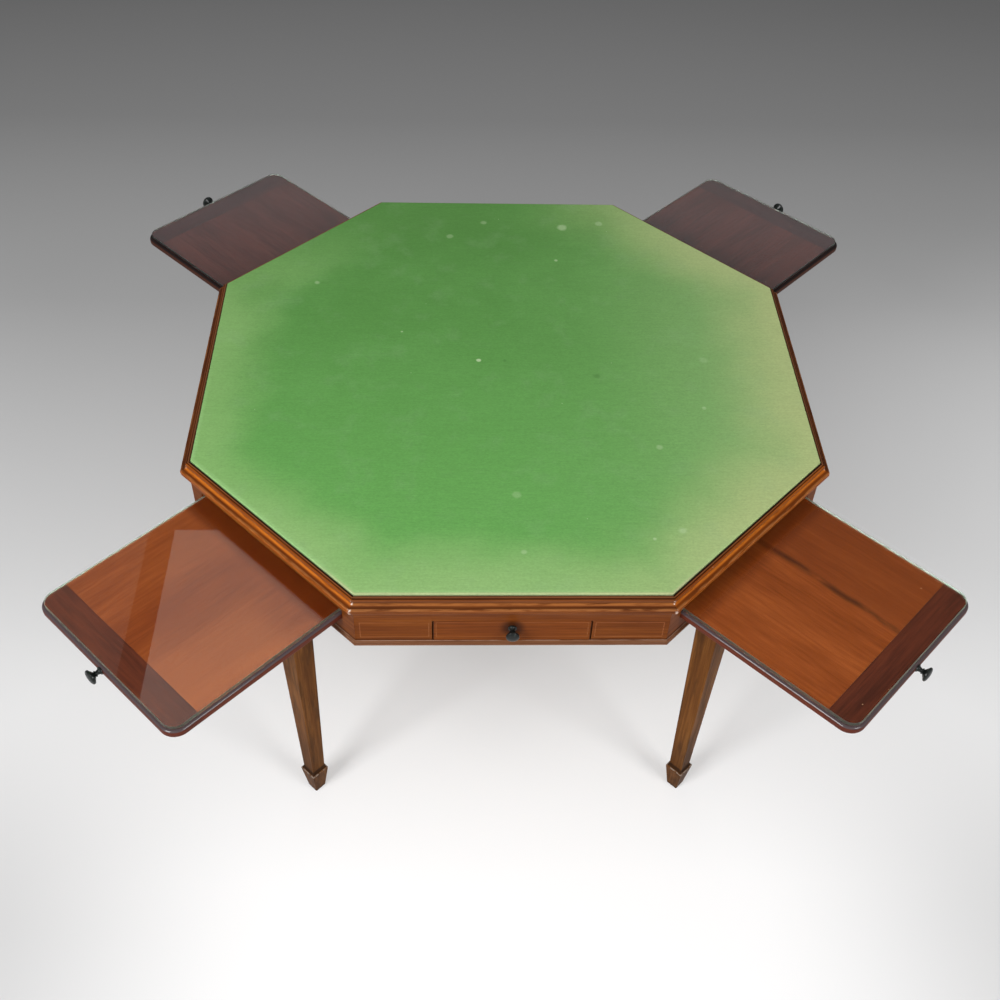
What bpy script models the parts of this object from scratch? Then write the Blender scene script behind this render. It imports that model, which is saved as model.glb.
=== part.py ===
"""Octagonal card table: a baize top in a moulded frame, four glass-topped slides and four drawers.

Metres, +Z up. The origin lies on the floor under the middle of the top, and the front faces -Y.
The octagon has four straight sides, which face the axes, and four corner sides, which face the
diagonals. A leg stands under each corner side, a slide runs out through it, and each straight side
holds a drawer. The slides are modelled pulled out against their stops, and the drawers shut.

Every piece of one side is modelled as if that side faced -Y, then turned into place about Z.
An "offset" is a distance outwards from the edge of the cloth, square to the side.
"""

import math

import bmesh
import bpy
from mathutils import Vector

# Top
CLOTH_WIDTH = 0.954         # across two opposite straight sides of the cloth
CLOTH_SIDE = 0.438          # length of one straight side of the cloth
TABLE_HEIGHT = 0.735        # floor to the face of the cloth
CLOTH_THICK = 0.0015
CLOTH_PROUD = 0.003         # face of the cloth above the flat band of the lipping
CLOTH_TUCK = 0.002          # how far the turned-down cloth reaches below that band

# Lipping, the mitred moulding round the panel
LIPPING_THICK = 0.0225      # its flat band to its underside
LIPPING_REACH = 0.017       # offset of the face of its nose
LIPPING_GROOVE = 0.0013     # open line between the cloth and the lipping
LIPPING_BAND = 0.0035       # width of the flat band
LIPPING_BAND_FALL = 0.0004  # fall of the band towards its outer arris
LIPPING_STEP = 0.0015       # height of the quirk outside the band
LIPPING_QUIRK = 0.0008      # width of the quirk's floor
LIPPING_BEAD = 0.0024       # radius of the round shoulder outside the quirk
LIPPING_DROP = 0.0032       # upright face between that shoulder and the hollow
LIPPING_NOSE = 0.003        # radius of the two arrises of the nose
LIPPING_NOSE_FACE = 0.0042  # upright face between them

# Apron
APRON_FACE = 0.0056         # offset of its outer face
APRON_THICK = 0.012
APRON_HEIGHT = 0.0792
COVE_REACH = 0.0084         # how far the cove under the lipping stands out from the apron's face
COVE_HEIGHT = 0.0252
BASE_REACH = 0.0034         # how far the base moulding stands out from the apron's face
BASE_HEIGHT = 0.0087
BASE_FOOT = 0.0040          # flat lower part of the base moulding

# Slides
SLIDE_MARGIN = 0.0234       # from the edge of a slide to the corner of the octagon at the cloth
SLIDE_THICK = 0.0118
SLIDE_CORNER = 0.024        # plan radius of the two outer corners
SLIDE_TAIL = 0.0373         # what stays behind the apron when a slide is pulled out
SLIDE_PROUD = 0.006         # how far a shut slide stands out of the apron
SLIDE_MIDDLE = 0.006        # free space between the tail of a shut slide and its neighbours
CLAMP_WIDTH = 0.048         # cross-grained clamp at the outer end
GLASS_DROP = 0.052          # face of the glass below the face of the cloth
GLASS_THICK = 0.0059
GLASS_INSET = 0.005         # board margin left round the glass
STOP_HEIGHT = 0.0110        # batten across the tail

# Drawers
DRAWER_WIDTH = 0.223
DRAWER_HEIGHT = 0.0426
DRAWER_DROP = 0.0534        # top of the drawer front below the face of the cloth
DRAWER_FRONT = 0.016        # thickness of the front
DRAWER_SIDE = 0.008         # thickness of the sides and back
DRAWER_BOTTOM = 0.004
DRAWER_SIDE_DROP = 0.002    # sides stop this far below the top of the front

# Frame inside the apron
BEARER_THICK = 0.017        # grooved strips that carry the slides
GUIDE_THICK = 0.008         # strips beside the drawers
KICKER_THICK = 0.008        # lip over the drawer sides
LEG_BLOCK_WIDTH = 0.060     # cross block between two bearers, which takes a leg's tenon
LEG_BLOCK_DROP = 0.0016     # top of that block below the slide that runs over it
GLUE_DEPTH = 0.002          # how far joined parts of one piece run into each other

# Legs
LEG_TOP = 0.0465            # side of the square leg under the apron
LEG_ANKLE = 0.0266          # side above the spade foot
LEG_PROUD = 0.001           # outer face of the leg in front of the apron's face
FOOT_TOP = 0.035            # side of the spade foot at its widest
FOOT_TIP = 0.0208           # side on the floor
FOOT_HEIGHT = 0.061         # floor to the widest part
FOOT_SHOULDER = 0.009       # height of the slope from the ankle to the widest part
LEG_ARRIS = 0.0008

# Knobs
SLIDE_KNOB = 0.022          # diameter of the cap of a slide's knob
DRAWER_KNOB = 0.0190        # diameter of the cap of a drawer's knob
DRAWER_KNOB_RISE = 0.006    # a drawer's knob above the middle of its front
KNOB_LENGTH = 0.0195        # face of the knob from its seat
KNOB_CAP_THICK = 0.0055     # face of the cap to the back of its rim
KNOB_DOME = 0.003           # rise of the cap's face
KNOB_LIP = 0.0012           # rounding of the rim's back arris
KNOB_WAIST = 0.0062         # diameter of the stem
KNOB_BEAD = 0.0092          # diameter of the ring on the stem
KNOB_BEAD_HALF = 0.0012     # half its height
KNOB_BEAD_UP = 0.0080       # its middle from the seat
KNOB_ROSE = 0.0120          # diameter of the foot of the knob
KNOB_ROSE_THICK = 0.0015
KNOB_SPIGOT = 0.006
KNOB_SPIGOT_LENGTH = 0.012

# Clearances
JOINT = 0.0003              # between pieces that touch or are glued
RUN = 0.0004                # between a slide or drawer and what it runs on
SHOULDER = 0.0008           # between a moving piece and the opening round it
DRAWER_REAR = 0.0016        # between a drawer's back corner and the bearers behind it
DRAWER_END = 0.0014         # between the ends of a drawer front and its opening
CUT_PAST = 0.010            # how far a cutter runs out of what it cuts

# Straight runs that stand for round shapes
BEAD_STEPS = 4
HOLLOW_STEPS = 5
NOSE_STEPS = 4
COVE_STEPS = 8
FOOT_COVE_STEPS = 4
CORNER_STEPS = 6
KNOB_STEPS = 14
KNOB_ARC_STEPS = 4
KNOB_LIP_STEPS = 2

MITRE = math.tan(math.radians(22.5))
SIDES = ["front", "front_right", "right", "back_right", "back", "back_left", "left", "front_left"]
STRAIGHT = range(0, 8, 2)
CORNER = range(1, 8, 2)

# Places worked out from the sizes. "Apothem" is the distance from the middle to a side of the cloth.
STRAIGHT_APOTHEM = CLOTH_WIDTH / 2
STRAIGHT_HALF = CLOTH_SIDE / 2
CORNER_APOTHEM = (STRAIGHT_APOTHEM + STRAIGHT_HALF) / math.sqrt(2)
CORNER_HALF = (STRAIGHT_APOTHEM - STRAIGHT_HALF) / math.sqrt(2)
SLIDE_HALF = CORNER_HALF - SLIDE_MARGIN

BAND_Z = TABLE_HEIGHT - CLOTH_PROUD
TOP_UNDERSIDE = BAND_Z - LIPPING_THICK
PANEL_TOP = TABLE_HEIGHT - CLOTH_THICK - JOINT
CLOTH_EDGE_Z = BAND_Z - CLOTH_TUCK
APRON_TOP = TOP_UNDERSIDE - JOINT
APRON_BOTTOM = APRON_TOP - APRON_HEIGHT
APRON_BACK = APRON_FACE - APRON_THICK
DRAWER_TOP = TABLE_HEIGHT - DRAWER_DROP
DRAWER_UNDERSIDE = DRAWER_TOP - DRAWER_HEIGHT
DUST_BOARD_TOP = DRAWER_UNDERSIDE - JOINT
GLASS_TOP = TABLE_HEIGHT - GLASS_DROP
SLIDE_TOP = GLASS_TOP - GLASS_THICK - JOINT
SLIDE_UNDERSIDE = SLIDE_TOP - SLIDE_THICK
SLOT_HALF = SLIDE_HALF + SHOULDER
SLOT_TOP = GLASS_TOP + SHOULDER
SLOT_BOTTOM = SLIDE_UNDERSIDE - RUN

SLIDE_SHUT = CORNER_APOTHEM + APRON_FACE + SLIDE_PROUD
SLIDE_LENGTH = SLIDE_SHUT - SLIDE_HALF - SLIDE_MIDDLE
CORNER_BACK = CORNER_APOTHEM + APRON_BACK
SLIDE_INNER = CORNER_BACK - SLIDE_TAIL
SLIDE_OUTER = SLIDE_INNER + SLIDE_LENGTH
GLASS_HALF = SLIDE_HALF - GLASS_INSET

BEARER_FACE = GLASS_HALF + SHOULDER
BEARER_BACK = BEARER_FACE + BEARER_THICK
BEARER_INNER = BEARER_BACK + JOINT
DRAWER_BACK = BEARER_BACK * math.sqrt(2) + DRAWER_WIDTH / 2 + DRAWER_REAR
DRAWER_FACE = STRAIGHT_APOTHEM + APRON_FACE
STRAIGHT_BACK = STRAIGHT_APOTHEM + APRON_BACK
GUIDE_FACE = DRAWER_WIDTH / 2 + SHOULDER
GUIDE_INNER = BEARER_BACK * math.sqrt(2) + GUIDE_FACE + GUIDE_THICK + SHOULDER

LEG_CENTRE = CORNER_APOTHEM + APRON_FACE + LEG_PROUD - LEG_TOP / 2
TENON_HALF = CORNER_BACK - LEG_CENTRE - RUN
LEG_BLOCK_TOP = SLIDE_UNDERSIDE - LEG_BLOCK_DROP


def clear_scene():
    """Remove every object, mesh, curve and material that the scene started with."""
    for item in list(bpy.data.objects):
        bpy.data.objects.remove(item, do_unlink=True)
    for store in (bpy.data.meshes, bpy.data.curves, bpy.data.materials):
        for item in list(store):
            store.remove(item)


def new_collection(name):
    """A collection linked to the scene."""
    collection = bpy.data.collections.new(name)
    bpy.context.scene.collection.children.link(collection)
    return collection


def material(name, colour, roughness, metallic=0.0):
    """A Principled material; colour is linear RGB."""
    made = bpy.data.materials.new(name)
    made.use_nodes = True
    shader = made.node_tree.nodes["Principled BSDF"]
    shader.inputs["Base Color"].default_value = (*colour, 1.0)
    shader.inputs["Roughness"].default_value = roughness
    shader.inputs["Metallic"].default_value = metallic
    made.diffuse_color = (*colour, 1.0)
    return made


def octagon(offset):
    """Corners of the cloth's octagon moved outwards by offset, counterclockwise from the front."""
    far = STRAIGHT_APOTHEM + offset
    near = STRAIGHT_HALF + offset * MITRE
    return [(-near, -far), (near, -far), (far, -near), (far, near),
            (near, far), (-near, far), (-far, near), (-far, -near)]


def arc(centre, radii, start, end, steps):
    """Points of an elliptical arc about centre, angles in degrees, both ends included."""
    angles = [math.radians(start + (end - start) * i / steps) for i in range(steps + 1)]
    return [(centre[0] + radii[0] * math.cos(a), centre[1] + radii[1] * math.sin(a)) for a in angles]


def plate_mesh(name, outline, low, high):
    """A flat outline in X and Y, filled and made thick from z = low to z = high."""
    curve = bpy.data.curves.new(name, "CURVE")
    curve.dimensions = "2D"
    curve.fill_mode = "BOTH"
    curve.extrude = (high - low) / 2
    spline = curve.splines.new("POLY")
    spline.points.add(len(outline) - 1)
    for point, (x, y) in zip(spline.points, outline):
        point.co = (x, y, 0.0, 1.0)
    spline.use_cyclic_u = True
    holder = bpy.data.objects.new(name, curve)
    bpy.context.scene.collection.objects.link(holder)
    graph = bpy.context.evaluated_depsgraph_get()
    mesh = bpy.data.meshes.new_from_object(holder.evaluated_get(graph))
    bpy.data.objects.remove(holder, do_unlink=True)
    bpy.data.curves.remove(curve)
    mesh.name = name
    move_vertices(mesh, lambda v: Vector((v.x, v.y, v.z + (low + high) / 2)))
    return mesh


def move_vertices(mesh, rule):
    """Put each vertex where the rule says, weld the caps and turn the faces outwards."""
    work = bmesh.new()
    work.from_mesh(mesh)
    for vertex in work.verts:
        vertex.co = rule(vertex.co)
    bmesh.ops.remove_doubles(work, verts=work.verts, dist=1e-6)
    bmesh.ops.recalc_face_normals(work, faces=work.faces)
    work.to_mesh(mesh)
    work.free()


def box_mesh(name, low, high):
    """A box from its lowest corner to its highest."""
    outline = [(low[0], low[1]), (high[0], low[1]), (high[0], high[1]), (low[0], high[1])]
    return plate_mesh(name, outline, low[2], high[2])


def shifted(mesh, distance, height):
    """Bring a mesh modelled in place to an origin at that distance in front and at that height."""
    move_vertices(mesh, lambda v: Vector((v.x, v.y + distance, v.z - height)))
    return mesh


def turned_about_z(mesh, side):
    """A copy of the mesh, turned from the front to another side of the table."""
    copy = mesh.copy()
    turn = math.radians(45 * side)
    move_vertices(copy, lambda v: Vector((v.x * math.cos(turn) - v.y * math.sin(turn),
                                          v.x * math.sin(turn) + v.y * math.cos(turn), v.z)))
    return copy


def mitred_mesh(name, section, side):
    """A length of moulding along a side, its ends mitred to its neighbours.

    The section is a list of (offset, height). It is extruded to the length of the side, and each
    end is then slanted so that a point at a larger offset reaches further along the side.
    """
    straight = side % 2 == 0
    apothem = STRAIGHT_APOTHEM if straight else CORNER_APOTHEM
    half = (STRAIGHT_HALF if straight else CORNER_HALF) - JOINT / 2
    mesh = plate_mesh(name, section, -half, half)

    def lay(v):
        reach = half + v.x * MITRE
        return Vector((math.copysign(reach, v.z), -(apothem + v.x), v.y))

    move_vertices(mesh, lay)
    return mesh


def turned_mesh(name, profile, steps, closed=False):
    """A profile of (radius, height) turned about Z: top to bottom from axis to axis, or a closed loop."""
    mesh = bpy.data.meshes.new(name)
    points = [(radius, 0.0, height) for radius, height in profile]
    edges = [(i, i + 1) for i in range(len(points) - 1)]
    if closed:
        edges.append((len(points) - 1, 0))
    mesh.from_pydata(points, edges, [])
    holder = bpy.data.objects.new(name, mesh)
    bpy.context.scene.collection.objects.link(holder)
    screw = holder.modifiers.new("turn", "SCREW")
    screw.axis = "Z"
    screw.angle = math.radians(360)
    screw.steps = steps
    screw.render_steps = steps
    screw.use_merge_vertices = True
    screw.merge_threshold = 1e-5
    graph = bpy.context.evaluated_depsgraph_get()
    turned = bpy.data.meshes.new_from_object(holder.evaluated_get(graph))
    bpy.data.objects.remove(holder, do_unlink=True)
    bpy.data.meshes.remove(mesh)
    turned.name = name
    return turned


def ring_mesh(name, section):
    """A moulding that runs all round the octagon, mitred at its eight corners.

    The section, a list of (offset, height), is turned in eight steps about a circle of radius 1,
    and what lies at each step is then laid on its corner of the octagon.
    """
    mesh = turned_mesh(name, [(1.0 + offset, height) for offset, height in section], 8, closed=True)

    def lay(v):
        step = round(math.degrees(math.atan2(v.y, v.x)) / 45) % 8
        x, y = octagon(math.hypot(v.x, v.y) - 1.0)[step]
        return Vector((x, y, v.z))

    move_vertices(mesh, lay)
    return mesh


def place(name, mesh, paint, parent=None, side=0, location=(0.0, 0.0, 0.0)):
    """Put a mesh into the table as a named piece, turned to its side."""
    piece = bpy.data.objects.new(name, mesh)
    TABLE.objects.link(piece)
    if not mesh.materials:
        mesh.materials.append(paint)
    if parent:
        piece.parent = parent
    else:
        piece.rotation_euler.z = math.radians(45 * side)
    piece.location = location
    return piece


def combine(piece, mesh, operation):
    """Cut a mesh out of a piece, or join it on; the helper turns and travels with the piece."""
    helper = bpy.data.objects.new(piece.name + "_helper", mesh)
    CUTTERS.objects.link(helper)
    helper.parent = piece
    helper.display_type = "WIRE"
    helper.hide_render = True
    boolean = piece.modifiers.new(operation.lower(), "BOOLEAN")
    boolean.operation = operation
    boolean.solver = "EXACT"
    boolean.object = helper


def cut(piece, mesh):
    """Cut a mesh out of a piece."""
    combine(piece, mesh, "DIFFERENCE")


def join(piece, mesh):
    """Glue a mesh onto a piece as one solid."""
    combine(piece, mesh, "UNION")


def round_edges(piece, width, segments=2, angle=50):
    """A small rounding on the sharp edges of a piece."""
    bevel = piece.modifiers.new("arris", "BEVEL")
    bevel.width = width
    bevel.segments = segments
    bevel.limit_method = "ANGLE"
    bevel.angle_limit = math.radians(angle)


def axis_empty(name, side, distance, height):
    """An empty on the line along which a slide or drawer travels."""
    turn = math.radians(45 * side)
    empty = bpy.data.objects.new(name, None)
    TABLE.objects.link(empty)
    empty.location = (distance * math.sin(turn), -distance * math.cos(turn), height)
    empty.rotation_euler.z = turn
    return empty


def lipping_section():
    """Outline of the lipping: rebate, flat band, quirk, round shoulder, hollow and nose."""
    nose = LIPPING_REACH - LIPPING_NOSE
    nose_low = TOP_UNDERSIDE + LIPPING_NOSE
    nose_high = nose_low + LIPPING_NOSE_FACE
    nose_radii = (LIPPING_NOSE, LIPPING_NOSE)
    band_end = LIPPING_GROOVE + LIPPING_BAND
    quirk_z = BAND_Z - LIPPING_BAND_FALL - LIPPING_STEP
    quirk_end = band_end + LIPPING_QUIRK
    bead_z = quirk_z - LIPPING_BEAD
    hollow_z = bead_z - LIPPING_DROP
    hollow_radii = (nose - quirk_end - LIPPING_BEAD, hollow_z - nose_high - LIPPING_NOSE)
    return ([(-CLOTH_THICK, TOP_UNDERSIDE),
             (-CLOTH_THICK, CLOTH_EDGE_Z - JOINT),
             (LIPPING_GROOVE, CLOTH_EDGE_Z - JOINT),
             (LIPPING_GROOVE, BAND_Z),
             (band_end, BAND_Z - LIPPING_BAND_FALL),
             (band_end, quirk_z)]
            + arc((quirk_end, bead_z), (LIPPING_BEAD, LIPPING_BEAD), 90, 0, BEAD_STEPS)
            + arc((nose, hollow_z), hollow_radii, 180, 270, HOLLOW_STEPS)
            + arc((nose, nose_high), nose_radii, 90, 0, NOSE_STEPS)[1:]
            + arc((nose, nose_low), nose_radii, 0, -90, NOSE_STEPS))


def apron_section():
    """Outline of an apron board with the cove under the lipping worked on it."""
    lip = APRON_FACE + COVE_REACH
    cove = (COVE_REACH, COVE_HEIGHT - JOINT)
    return ([(APRON_BACK, APRON_BOTTOM), (APRON_FACE, APRON_BOTTOM)]
            + arc((lip, APRON_TOP - COVE_HEIGHT), cove, 180, 90, COVE_STEPS)
            + [(lip, APRON_TOP), (APRON_BACK, APRON_TOP)])


def base_section():
    """Outline of the base moulding: a flat foot with a hollow above it."""
    back = APRON_FACE + JOINT
    front = APRON_FACE + BASE_REACH
    hollow = (front - back - JOINT, BASE_HEIGHT - BASE_FOOT - JOINT)
    top = APRON_BOTTOM + BASE_HEIGHT
    return ([(back, APRON_BOTTOM), (front, APRON_BOTTOM), (front, APRON_BOTTOM + BASE_FOOT)]
            + arc((front, top - JOINT), hollow, 270, 180, FOOT_COVE_STEPS)
            + [(back + JOINT, top), (back, top)])


def make_top():
    """Baize, panel and the eight lengths of lipping."""
    cloth = place("baize", plate_mesh("baize", octagon(0.0), CLOTH_EDGE_Z, TABLE_HEIGHT), BAIZE)
    under = plate_mesh("baize_inside", octagon(-CLOTH_THICK), CLOTH_EDGE_Z - CLOTH_THICK,
                       TABLE_HEIGHT - CLOTH_THICK)
    cut(cloth, under)
    panel = octagon(-CLOTH_THICK - JOINT)
    place("playing_panel", plate_mesh("playing_panel", panel, TOP_UNDERSIDE, PANEL_TOP), DEAL)
    for side, name in enumerate(SIDES):
        mesh = mitred_mesh("lipping_" + name, lipping_section(), side)
        place("lipping_" + name, mesh, MAHOGANY, side=side)


def make_apron():
    """Eight apron boards, cut for the drawers and the slides, and the base moulding."""
    for side, name in enumerate(SIDES):
        board = place("apron_" + name, mitred_mesh("apron_" + name, apron_section(), side),
                      MAHOGANY, side=side)
        apothem = STRAIGHT_APOTHEM if side in STRAIGHT else CORNER_APOTHEM
        near = apothem + APRON_BACK - CUT_PAST
        far = apothem + APRON_FACE + CUT_PAST
        if side in STRAIGHT:
            half = DRAWER_WIDTH / 2 + DRAWER_END
            low, high = DUST_BOARD_TOP, DRAWER_TOP + JOINT
        else:
            half, low, high = SLOT_HALF, SLOT_BOTTOM, SLOT_TOP
        cut(board, box_mesh(board.name + "_opening", (-half, -far, low), (half, -near, high)))
    place("base_moulding", ring_mesh("base_moulding", base_section()), MAHOGANY)


def make_inner_frame():
    """Dust board with the drawer guides on it, and a bearer frame for each slide."""
    hole = TENON_HALF + JOINT
    board = place("dust_board", plate_mesh("dust_board", octagon(APRON_BACK - JOINT), APRON_BOTTOM,
                                           DUST_BOARD_TOP), DEAL)
    for side in STRAIGHT:
        for hand in (-1, 1):
            join(board, turned_about_z(guide_mesh(hand), side))
    for side in CORNER:
        tenon_hole = box_mesh("tenon_hole", (-hole, -LEG_CENTRE - hole, APRON_BOTTOM - CUT_PAST),
                              (hole, -LEG_CENTRE + hole, LEG_BLOCK_TOP + CUT_PAST))
        cut(board, turned_about_z(tenon_hole, side))
        frame = place("slide_frame_" + SIDES[side], leg_block_mesh(hole), DEAL, side=side)
        for hand in (-1, 1):
            join(frame, bearer_mesh(hand))


def leg_block_mesh(hole):
    """The cross block that a leg's tenon is glued into, open to the apron, from bearer to bearer."""
    outer = CORNER_BACK - JOINT
    inner = outer - LEG_BLOCK_WIDTH
    half = BEARER_FACE + GLUE_DEPTH
    back = LEG_CENTRE - hole
    outline = [(-half, -outer), (-hole, -outer), (-hole, -back), (hole, -back),
               (hole, -outer), (half, -outer), (half, -inner), (-half, -inner)]
    return plate_mesh("leg_block", outline, DUST_BOARD_TOP + GLUE_DEPTH, LEG_BLOCK_TOP)


def bearer_mesh(hand):
    """One bearer beside a slide, from the dust board to the panel, grooved for the slide's edge."""
    low = DUST_BOARD_TOP + JOINT
    high = TOP_UNDERSIDE - JOINT
    groove = SLIDE_HALF + RUN
    section = [(BEARER_FACE, low), (BEARER_BACK, low), (BEARER_BACK, high), (BEARER_FACE, high),
               (BEARER_FACE, SLIDE_TOP + RUN), (groove, SLIDE_TOP + RUN),
               (groove, SLIDE_UNDERSIDE - RUN), (BEARER_FACE, SLIDE_UNDERSIDE - RUN)]
    return lengthwise_mesh("bearer", section, CORNER_BACK - JOINT, BEARER_INNER, hand)


def guide_mesh(hand):
    """One strip beside a drawer, from the dust board to the panel, with a lip over the drawer side."""
    low = DUST_BOARD_TOP - GLUE_DEPTH
    high = TOP_UNDERSIDE - JOINT
    back = GUIDE_FACE + GUIDE_THICK
    lip = GUIDE_FACE - DRAWER_SIDE
    lip_z = DRAWER_TOP + SHOULDER
    section = [(GUIDE_FACE, low), (back, low), (back, high), (GUIDE_FACE, high),
               (GUIDE_FACE, lip_z + KICKER_THICK), (lip, lip_z + KICKER_THICK), (lip, lip_z),
               (GUIDE_FACE, lip_z)]
    return lengthwise_mesh("guide", section, STRAIGHT_BACK - JOINT, GUIDE_INNER, hand)


def lengthwise_mesh(name, section, outer, inner, hand):
    """A strip that runs inwards from the apron: its section is a list of (across, height)."""
    mesh = plate_mesh(name, section, -outer, -inner)
    move_vertices(mesh, lambda v: Vector((hand * v.x, v.z, v.y)))
    return mesh


def make_legs():
    """Four square tapered legs with spade feet; turning with four steps makes them square."""
    root = math.sqrt(2)
    shoulder = APRON_BOTTOM - JOINT
    taper_low = FOOT_HEIGHT + FOOT_SHOULDER
    tenon_top = LEG_BLOCK_TOP - JOINT
    profile = [(0.0, tenon_top),
               (TENON_HALF * root, tenon_top),
               (TENON_HALF * root, shoulder),
               (LEG_TOP / root, shoulder),
               (LEG_ANKLE / root, taper_low),
               (FOOT_TOP / root, FOOT_HEIGHT),
               (FOOT_TIP / root, 0.0),
               (0.0, 0.0)]
    for side in CORNER:
        mesh = turned_mesh("leg", profile, 4)
        move_vertices(mesh, lambda v: Vector(((v.x - v.y) / root, (v.x + v.y) / root, v.z)))
        move_vertices(mesh, lambda v: Vector((v.x, v.y - LEG_CENTRE, v.z)))
        leg = place("leg_" + SIDES[side], mesh, MAHOGANY, side=side)
        round_edges(leg, LEG_ARRIS)


def knob_profile(diameter):
    """Half outline of a knob: domed cap with a conical back, ring, spreading foot and spigot."""
    cap = diameter / 2
    waist = KNOB_WAIST / 2
    rose = KNOB_ROSE / 2
    spigot = KNOB_SPIGOT / 2
    under = KNOB_LENGTH - KNOB_CAP_THICK
    ring_top = KNOB_BEAD_UP + KNOB_BEAD_HALF
    ring_foot = KNOB_BEAD_UP - KNOB_BEAD_HALF
    rose_top = JOINT + KNOB_ROSE_THICK
    bead = (KNOB_BEAD / 2 - waist, KNOB_BEAD_HALF)
    spread = (rose - waist, ring_foot - rose_top)
    return (arc((0.0, KNOB_LENGTH - KNOB_DOME), (cap, KNOB_DOME), 90, 0, KNOB_ARC_STEPS)
            + arc((cap - KNOB_LIP, under + KNOB_LIP), (KNOB_LIP, KNOB_LIP), 0, -90, KNOB_LIP_STEPS)
            + arc((waist, KNOB_BEAD_UP), bead, 90, -90, KNOB_ARC_STEPS)
            + arc((rose, ring_foot), spread, 180, 270, KNOB_ARC_STEPS)[1:]
            + [(rose, JOINT), (spigot, JOINT), (spigot, -KNOB_SPIGOT_LENGTH),
               (0.0, -KNOB_SPIGOT_LENGTH)])


def knob_mesh(diameter):
    """A turned knob with its axis along -Y and its seat at the origin, its spigot behind it."""
    mesh = turned_mesh("knob", knob_profile(diameter), KNOB_STEPS)
    move_vertices(mesh, lambda v: Vector((v.x, -v.z, v.y)))
    mesh.shade_smooth()
    mesh.set_sharp_from_angle(angle=math.radians(40))
    return mesh


def spigot_hole_mesh():
    """Cutter for the hole that a knob's spigot sits in."""
    radius = KNOB_SPIGOT / 2 + JOINT
    depth = KNOB_SPIGOT_LENGTH + JOINT
    mesh = turned_mesh("spigot_hole", [(0.0, KNOB_LENGTH), (radius, KNOB_LENGTH),
                                       (radius, -depth), (0.0, -depth)], KNOB_STEPS)
    move_vertices(mesh, lambda v: Vector((v.x, -v.z, v.y)))
    return mesh


def rounded_end(half, inner, outer, radius):
    """A board seen from above: square at its inner end, two round corners at its outer end."""
    right = arc((half - radius, -(outer - radius)), (radius, radius), 0, -90, CORNER_STEPS)
    left = arc((-(half - radius), -(outer - radius)), (radius, radius), -90, -180, CORNER_STEPS)
    return [(-half, -inner), (half, -inner)] + right + left


def make_slide(side):
    """One slide, pulled out: board, cross-grained clamp, glass, stop batten and knob."""
    name = SIDES[side]
    knob_z = SLIDE_UNDERSIDE + SLIDE_THICK / 2
    axis = axis_empty("slide_axis_" + name, side, SLIDE_OUTER, knob_z)
    joint_line = SLIDE_OUTER - CLAMP_WIDTH

    board = box_mesh("slide_board", (-SLIDE_HALF, -joint_line + JOINT, SLIDE_UNDERSIDE),
                     (SLIDE_HALF, -SLIDE_INNER, SLIDE_TOP))
    place("slide_board_" + name, shifted(board, SLIDE_OUTER, knob_z), MAHOGANY, parent=axis)

    outline = rounded_end(SLIDE_HALF, joint_line, SLIDE_OUTER, SLIDE_CORNER)
    clamp = plate_mesh("slide_clamp", outline, SLIDE_UNDERSIDE, SLIDE_TOP)
    clamp = place("slide_clamp_" + name, shifted(clamp, SLIDE_OUTER, knob_z), MAHOGANY, parent=axis)
    cut(clamp, spigot_hole_mesh())

    outline = rounded_end(GLASS_HALF, CORNER_BACK + JOINT, SLIDE_OUTER - GLASS_INSET,
                          SLIDE_CORNER - GLASS_INSET)
    glass = plate_mesh("slide_glass", outline, GLASS_TOP - GLASS_THICK, GLASS_TOP)
    place("slide_glass_" + name, shifted(glass, SLIDE_OUTER, knob_z), GLASS, parent=axis)

    stop_z = SLIDE_TOP + JOINT
    stop = box_mesh("slide_stop", (-GLASS_HALF, -(CORNER_BACK - JOINT), stop_z),
                    (GLASS_HALF, -(SLIDE_INNER + JOINT), stop_z + STOP_HEIGHT))
    place("slide_stop_" + name, shifted(stop, SLIDE_OUTER, knob_z), DEAL, parent=axis)

    place("slide_knob_" + name, knob_mesh(SLIDE_KNOB), EBONISED, parent=axis)


def make_drawer(side):
    """One drawer, shut: front, box of sides, back and bottom, and knob."""
    name = SIDES[side]
    half = DRAWER_WIDTH / 2
    knob_z = DRAWER_UNDERSIDE + DRAWER_HEIGHT / 2 + DRAWER_KNOB_RISE
    axis = axis_empty("drawer_axis_" + name, side, DRAWER_FACE, knob_z)
    behind = DRAWER_FACE - DRAWER_FRONT

    front = box_mesh("drawer_front", (-half, -DRAWER_FACE, DRAWER_UNDERSIDE),
                     (half, -behind, DRAWER_TOP))
    front = place("drawer_front_" + name, shifted(front, DRAWER_FACE, knob_z), MAHOGANY, parent=axis)
    cut(front, spigot_hole_mesh())

    side_top = DRAWER_TOP - DRAWER_SIDE_DROP
    inside = half - DRAWER_SIDE
    tray = box_mesh("drawer_box", (-half, -behind + JOINT, DRAWER_UNDERSIDE),
                    (half, -DRAWER_BACK, side_top))
    hollow = box_mesh("drawer_hollow",
                      (-inside, -DRAWER_FACE, DRAWER_UNDERSIDE + DRAWER_BOTTOM),
                      (inside, -(DRAWER_BACK + DRAWER_SIDE), side_top + CUT_PAST))
    tray = place("drawer_box_" + name, shifted(tray, DRAWER_FACE, knob_z), LINING, parent=axis)
    cut(tray, shifted(hollow, DRAWER_FACE, knob_z))

    place("drawer_knob_" + name, knob_mesh(DRAWER_KNOB), EBONISED, parent=axis)


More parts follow.
